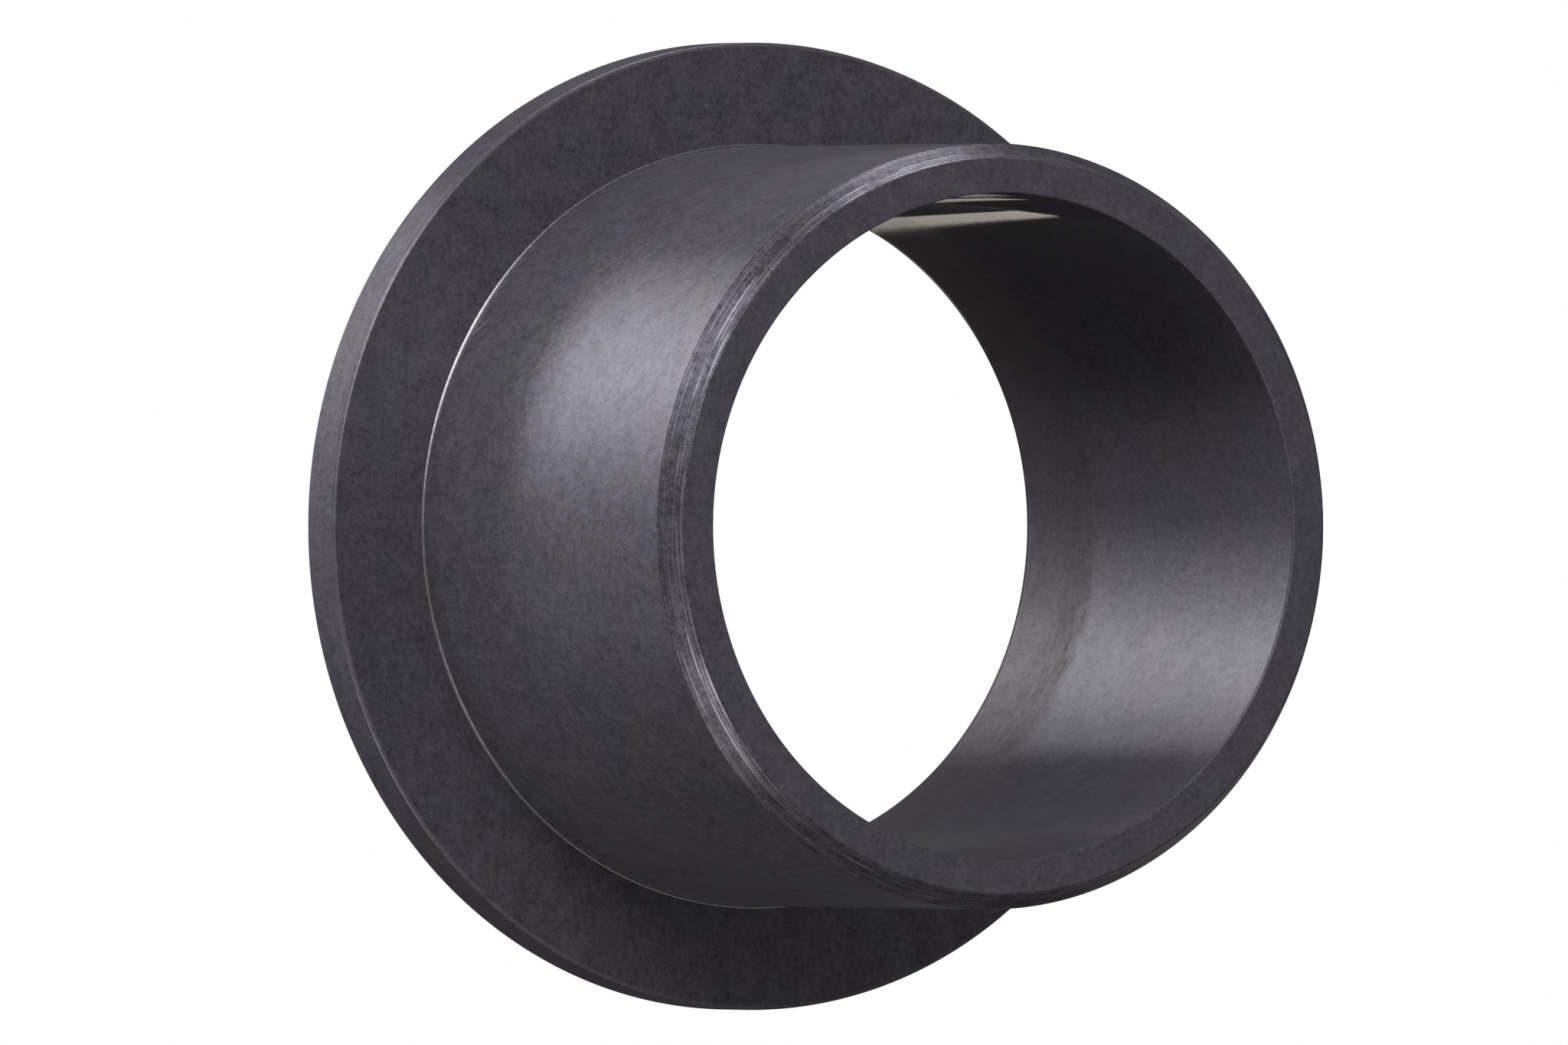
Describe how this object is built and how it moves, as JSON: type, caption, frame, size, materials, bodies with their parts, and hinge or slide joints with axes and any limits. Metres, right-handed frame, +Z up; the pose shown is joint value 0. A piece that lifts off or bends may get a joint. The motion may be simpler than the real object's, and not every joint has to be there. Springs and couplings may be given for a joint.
{
  "type": "flanged sleeve bushing",
  "caption": "One-piece polymer sleeve bushing with a thin flange at one end, a plain bore and a chamfered nose for pressing into a housing.",
  "frame": {"origin": "on the bore axis, in the plane of the flange's seating face, the face that rests against the housing", "axes": "+X along the bore axis from the flange to the chamfered nose, +Z up; the part is round, so Y and Z are alike"},
  "size_m": [0.0168, 0.0292, 0.0293],
  "materials": {
    "bearing_polymer": "dark charcoal moulded polymer, semi-matte with a fine mottled grain and a soft sheen"
  },
  "bodies": {
    "root": {"flanged_sleeve": "bearing_polymer"}
  },
  "joints": []
}
